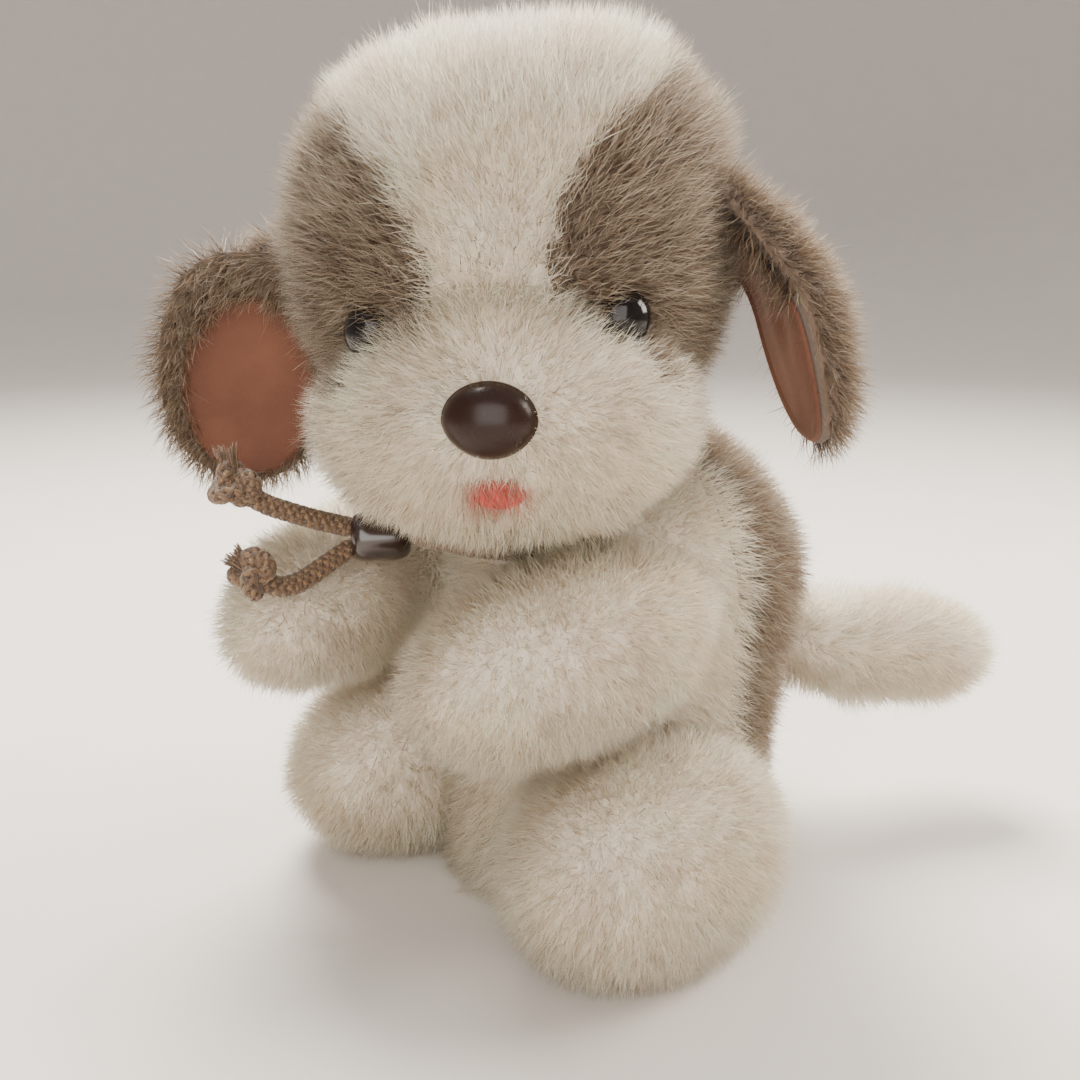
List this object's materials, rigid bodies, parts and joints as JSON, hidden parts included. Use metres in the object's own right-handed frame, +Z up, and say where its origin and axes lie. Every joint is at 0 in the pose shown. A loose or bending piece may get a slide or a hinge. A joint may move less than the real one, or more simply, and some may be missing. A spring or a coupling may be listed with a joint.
{
  "type": "interactive plush pet",
  "caption": "Sitting plush puppy with a turning head, a wagging tail, floppy lined ears, a drawstring cord round its neck and a geared motor case inside.",
  "frame": {"origin": "middle of the flat underside of the torso, on the surface that the toy sits on", "axes": "+Z up, -Y towards the front of the chest, +X towards the toy's own left"},
  "size_m": [0.1421, 0.2199, 0.2177],
  "materials": {
    "white_plush": "white long-pile plush",
    "brown_plush": "taupe plush with frosted tips",
    "stuffing": "polyester fibre fill",
    "ear_velour": "rust-brown short velour",
    "case_plastic": "moulded, satin",
    "gear_plastic": "acetal, natural",
    "steel": "plain",
    "motor_can": "plated",
    "cell_wrap": "printed sleeve without any mark",
    "board": "green solder mask",
    "speaker_black": "black",
    "button_plastic": "satin",
    "eye_gloss": "polished black",
    "nose_gloss": "moulded, semi-gloss dark brown",
    "washer_plastic": "natural",
    "mouth_felt": "soft red felt",
    "cord_braid": "braided, brown with straw strands",
    "slide_plastic": "dark brown bead"
  },
  "bodies": {
    "torso": {"torso_front_panel": "white_plush", "torso_back_panel": "brown_plush", "torso_stuffing": "stuffing", "left_foreleg": "white_plush", "right_foreleg": "white_plush", "left_hind_leg": "white_plush", "right_hind_leg": "white_plush", "case_tub": "case_plastic", "gear_plate": "case_plastic", "case_cover": "case_plastic", "case_screws": "steel", "battery_tray": "case_plastic", "battery_cells": "cell_wrap", "battery_contacts": "steel", "battery_door": "case_plastic", "battery_door_screw": "steel", "gear_motor": "motor_can", "motor_screws": "steel", "circuit_board": "board", "speaker": "speaker_black", "press_switch": "case_plastic", "slide_switch": "case_plastic", "reduction_spindle": "steel", "idler_spindle": "steel", "neck_bush": "gear_plastic", "button_spring": "steel", "collar_cord": "cord_braid", "cord_slide": "slide_plastic", "upper_cord_end": "cord_braid", "lower_cord_end": "cord_braid", "upper_knot": "cord_braid", "lower_knot": "cord_braid"},
    "head": {"neck_shaft": "steel", "head_gear_sector": "gear_plastic", "neck_clip": "steel", "head_plate": "gear_plastic", "head_centre_panel": "white_plush", "head_left_panel": "brown_plush", "head_right_panel": "brown_plush", "head_stuffing": "stuffing", "muzzle_plush": "white_plush", "left_eye": "eye_gloss", "right_eye": "eye_gloss", "eye_washers": "washer_plastic", "nose": "nose_gloss", "nose_washer": "washer_plastic", "mouth_felt": "mouth_felt"},
    "left_ear": {"left_ear_fur": "brown_plush", "left_ear_lining": "ear_velour"},
    "right_ear": {"right_ear_fur": "brown_plush", "right_ear_lining": "ear_velour"},
    "tail": {"tail_shaft": "steel", "tail_gear_arm": "gear_plastic", "tail_plush": "white_plush"},
    "motor_gear": {"motor_pinion": "gear_plastic"},
    "double_gear": {"reduction_gear": "gear_plastic"},
    "idler": {"idler_gear": "gear_plastic"},
    "knob": {"switch_knob": "button_plastic"},
    "button": {"chest_button": "button_plastic"}
  },
  "joints": [
    {"name": "head_turn", "type": "hinge", "parent": "torso", "child": "head", "pos_m": [0, -0.029, 0.112], "axis": [0, 0, 1], "range_deg": [-90, 0]},
    {"name": "tail_wag", "type": "hinge", "parent": "torso", "child": "tail", "pos_m": [0, 0.02, 0.06], "axis": [0, 0, 1], "range_deg": [0, 60]},
    {"name": "reduction_spin", "type": "hinge", "parent": "torso", "child": "double_gear", "pos_m": [0, -0.0114, 0.055], "axis": [0, 0, 1], "continuous": true},
    {"name": "idler_spin", "type": "hinge", "parent": "torso", "child": "idler", "pos_m": [0.00531, -0.0034, 0.062], "axis": [0, 0, 1], "continuous": true},
    {"name": "motor_spin", "type": "hinge", "parent": "torso", "child": "motor_gear", "pos_m": [-0.0096, 0.0014, 0.05], "axis": [0, 0, 1], "continuous": true},
    {"name": "left_ear_flap", "type": "hinge", "parent": "head", "child": "left_ear", "pos_m": [0.03626, -0.00344, 0.19148], "axis": [0.7054, -0.7054, -0.0698], "range_deg": [0, 35], "stiffness_Nm_per_rad": 0.05},
    {"name": "right_ear_flap", "type": "hinge", "parent": "head", "child": "right_ear", "pos_m": [-0.03716, -0.06803, 0.17389], "axis": [-0.7054, 0.7054, 0.0698], "range_deg": [0, 35], "stiffness_Nm_per_rad": 0.05},
    {"name": "switch_slide", "type": "slide", "parent": "torso", "child": "knob", "axis": [1, 0, 0], "range_m": [0, 0.004]},
    {"name": "button_press", "type": "slide", "parent": "torso", "child": "button", "axis": [0, 1, 0], "range_m": [0, 0.0014], "stiffness_N_per_m": 800, "deforming": ["button_spring"]}
  ],
  "couplings": [
    {"joint": "tail_wag", "follows": "head_turn", "ratio": -0.66667},
    {"joint": "reduction_spin", "follows": "head_turn", "ratio": -2.6667},
    {"joint": "idler_spin", "follows": "head_turn", "ratio": 2.6667},
    {"joint": "motor_spin", "follows": "head_turn", "ratio": 8}
  ]
}
